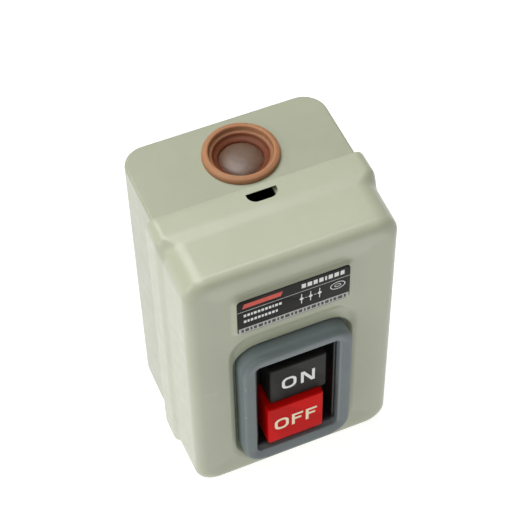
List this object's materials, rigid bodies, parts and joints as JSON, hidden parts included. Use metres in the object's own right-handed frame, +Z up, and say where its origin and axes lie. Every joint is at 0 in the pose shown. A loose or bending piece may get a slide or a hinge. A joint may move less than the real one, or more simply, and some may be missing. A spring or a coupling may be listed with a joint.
{
  "type": "motor protection breaker",
  "caption": "Surface-mounted push-button motor protection breaker in a pressed steel box, with ON and OFF buttons, soft bezel and cable grommets.",
  "frame": {"origin": "centre of the flat back face that is screwed to a wall or machine frame", "axes": "+X to the right seen from the front, +Z up, the buttons and the front face look towards -Y, so +Y points into the wall"},
  "size_m": [0.0766, 0.0675, 0.1205],
  "materials": {
    "paint": "grey-green stoved enamel on pressed steel, satin, slight orange peel",
    "orange_rubber": "soft orange-brown rubber, matte",
    "grey_rubber": "bluish grey moulded soft plastic, satin",
    "label_ink": "thin aluminium plate printed dark grey with silver lines",
    "charcoal_plastic": "moulded charcoal plastic, fine texture",
    "red_plastic": "moulded red plastic, satin",
    "white_fill": "white filled lettering",
    "cream_fill": "cream filled lettering",
    "black_plastic": "black moulded housing",
    "bakelite": "dark brown phenolic moulding",
    "fish_paper": "pressed insulating paper",
    "zinc_steel": "zinc plated steel",
    "spring_steel": "spring steel wire",
    "brass": "brass, turned or pressed",
    "copper": "bare copper strip with silver faced contacts",
    "cream_plastic": "cream moulded plastic"
  },
  "bodies": {
    "enclosure": {"base_box": "paint", "front_cover": "paint", "cover_screw": "zinc_steel", "weld_nut": "zinc_steel", "top_grommet": "orange_rubber", "bottom_grommet": "orange_rubber", "bezel_frame": "grey_rubber", "button_mask": "black_plastic", "rating_label": "label_ink", "button_housing": "black_plastic", "switch_base": "bakelite", "insulating_sheet": "fish_paper", "block_screws": "zinc_steel", "rocker_pin": "zinc_steel", "detent_balls": "zinc_steel", "detent_springs": "spring_steel", "return_springs": "spring_steel", "line_contacts": "copper", "load_contacts": "copper", "line_screws": "brass", "load_screws": "brass", "terminal_washers": "zinc_steel", "overload_tray": "bakelite", "overload_cover": "black_plastic", "bimetal_strips": "copper", "heater_loops": "brass", "link_straps": "copper", "earth_screw": "brass", "earth_washer": "zinc_steel"},
    "on_push": {"on_button": "charcoal_plastic", "on_legend": "white_fill"},
    "off_push": {"off_button": "red_plastic", "off_legend": "cream_fill"},
    "rocker_arm": {"rocker": "cream_plastic"},
    "carriage": {"contact_carriage": "black_plastic", "moving_contacts": "copper", "contact_springs": "spring_steel"},
    "trip_slide_bar": {"trip_bar": "cream_plastic"}
  },
  "joints": [
    {"name": "on_travel", "type": "slide", "parent": "enclosure", "child": "on_push", "axis": [0, -1, 0], "range_m": [0, 0.0032]},
    {"name": "off_travel", "type": "slide", "parent": "enclosure", "child": "off_push", "axis": [0, 1, 0], "range_m": [0, 0.0032]},
    {"name": "rocker_hinge", "type": "hinge", "parent": "enclosure", "child": "rocker_arm", "pos_m": [0, -0.044, -0.01815], "axis": [1, 0, 0], "range_deg": [0, 18.42]},
    {"name": "carriage_travel", "type": "slide", "parent": "enclosure", "child": "carriage", "axis": [0, -1, 0], "range_m": [0, 0.0024], "deforming": ["return_springs"]},
    {"name": "trip_travel", "type": "slide", "parent": "enclosure", "child": "trip_slide_bar", "axis": [1, 0, 0], "range_m": [0, 0.0012], "stiffness_N_per_m": 60}
  ],
  "couplings": [
    {"joint": "off_travel", "follows": "on_travel", "ratio": 1},
    {"joint": "rocker_hinge", "follows": "on_travel", "rad_per_m": 100.43},
    {"joint": "carriage_travel", "follows": "on_travel", "ratio": 0.75}
  ]
}
